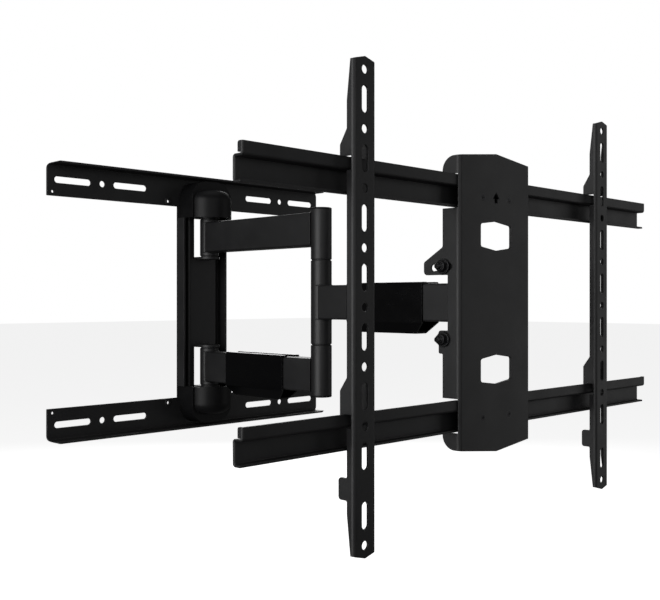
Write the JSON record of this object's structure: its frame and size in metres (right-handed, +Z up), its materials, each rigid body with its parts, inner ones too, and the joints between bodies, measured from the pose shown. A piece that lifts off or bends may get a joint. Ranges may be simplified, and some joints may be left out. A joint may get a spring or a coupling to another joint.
{
  "type": "full motion tv wall mount",
  "caption": "Full motion TV wall mount: slotted wall bracket, folding arm with cable covers, swivel and tilt head, and sliding screen brackets on rails.",
  "frame": {"origin": "centre of the wall bolt pattern, on the wall face", "axes": "+X to the right along the wall, +Y into the wall, +Z up; the screen side faces -Y"},
  "size_m": [0.65, 0.5002, 0.422],
  "materials": {
    "powder_coat": "satin",
    "black_plastic": "semi-gloss",
    "nylon": "matte",
    "black_zinc": "black zinc plated"
  },
  "bodies": {
    "wall_bracket": {"wall_rail_upper": "powder_coat", "wall_rail_lower": "powder_coat", "wall_channel": "powder_coat", "hinge_carrier": "powder_coat", "hinge_lugs": "powder_coat", "wall_pivot_pins": "black_zinc", "hinge_cap_upper": "black_plastic", "hinge_cap_lower": "black_plastic"},
    "inner_arm": {"arm_tube_upper": "powder_coat", "arm_tube_lower": "powder_coat", "wall_knuckle_upper": "powder_coat", "wall_knuckle_lower": "powder_coat", "elbow_knuckle_upper": "powder_coat", "elbow_knuckle_lower": "powder_coat", "elbow_cap_upper": "black_plastic", "elbow_cap_lower": "black_plastic", "wall_bushings": "nylon", "elbow_pin": "black_zinc", "arm_cable_cover": "black_plastic"},
    "forearm": {"forearm_tube": "powder_coat", "elbow_knuckle_middle": "powder_coat", "head_knuckle": "powder_coat", "elbow_bushings": "nylon", "head_bushings": "nylon", "forearm_cable_cover": "black_plastic"},
    "swivel_head": {"head_yoke": "powder_coat", "swivel_lugs": "powder_coat", "swivel_bolt": "black_zinc", "swivel_nut": "black_zinc", "tilt_pivot_studs": "black_zinc", "tilt_lock_studs": "black_zinc", "tilt_washers": "black_zinc", "tilt_nuts": "black_zinc"},
    "screen_frame": {"screen_plate": "powder_coat", "screen_rail_upper": "powder_coat", "screen_rail_lower": "powder_coat", "rail_screws": "black_zinc", "rail_spacers": "black_zinc", "rail_nuts": "black_zinc"},
    "left_bracket": {"screen_bracket_left": "powder_coat"},
    "right_bracket": {"screen_bracket_right": "powder_coat"}
  },
  "joints": [
    {"name": "wall_pivot", "type": "hinge", "parent": "wall_bracket", "child": "inner_arm", "pos_m": [0, -0.0265, 0], "axis": [0, 0, 1], "range_deg": [-80, 80]},
    {"name": "elbow", "type": "hinge", "parent": "inner_arm", "child": "forearm", "pos_m": [0, -0.2438, 0], "axis": [0, 0, -1], "range_deg": [-90, 90]},
    {"name": "head_swivel", "type": "hinge", "parent": "forearm", "child": "swivel_head", "pos_m": [0, -0.4585, 0], "axis": [0, 0, 1], "range_deg": [-60, 60]},
    {"name": "head_tilt", "type": "hinge", "parent": "swivel_head", "child": "screen_frame", "pos_m": [0, -0.4745, -0.0353], "axis": [1, 0, 0], "range_deg": [-5, 10]},
    {"name": "left_bracket_slide", "type": "slide", "parent": "screen_frame", "child": "left_bracket", "axis": [1, 0, 0], "range_m": [-0.108, 0.12]},
    {"name": "right_bracket_slide", "type": "slide", "parent": "screen_frame", "child": "right_bracket", "axis": [1, 0, 0], "range_m": [-0.12, 0.108]}
  ]
}
